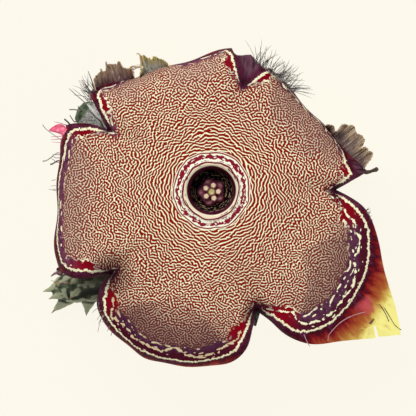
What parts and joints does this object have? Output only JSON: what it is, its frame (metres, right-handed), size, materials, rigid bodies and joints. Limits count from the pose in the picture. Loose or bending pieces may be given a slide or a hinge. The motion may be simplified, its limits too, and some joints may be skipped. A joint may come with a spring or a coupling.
{
  "type": "persian carpet flower",
  "caption": "Flat, lobed succulent flower with a dark central tube, a patterned disc and turned-under lobes, on a short spiny stem tip that lies on the surface.",
  "frame": {"origin": "on the resting surface, on the axis of the flower's tube, in the flat rest face under the stem's hub", "axes": "+Z up along the tube's axis, out of the flower's face; +X to the right and +Y up as the flower's face is looked at, with the lobe that isn't turned under at the lower right"},
  "size_m": [0.0894, 0.0796, 0.0314],
  "materials": {
    "corolla": "fleshy petal tissue, cream with brick red to maroon lines, softly satin",
    "corona": "fleshy dark maroon tissue, slightly moist",
    "gynostegium": "waxy pale cream-pink tissue",
    "calyx": "green fleshy tissue flecked with maroon",
    "stem": "firm grey-green succulent skin with hard tan tooth tips",
    "withered": "dry papery brown tissue, streaked and torn"
  },
  "bodies": {
    "root": {"corolla": "corolla", "corona": "corona", "gynostegium": "gynostegium", "calyx": "calyx", "stem": "stem", "withered_scrap_top": "withered", "withered_scrap_side": "withered"}
  },
  "joints": []
}
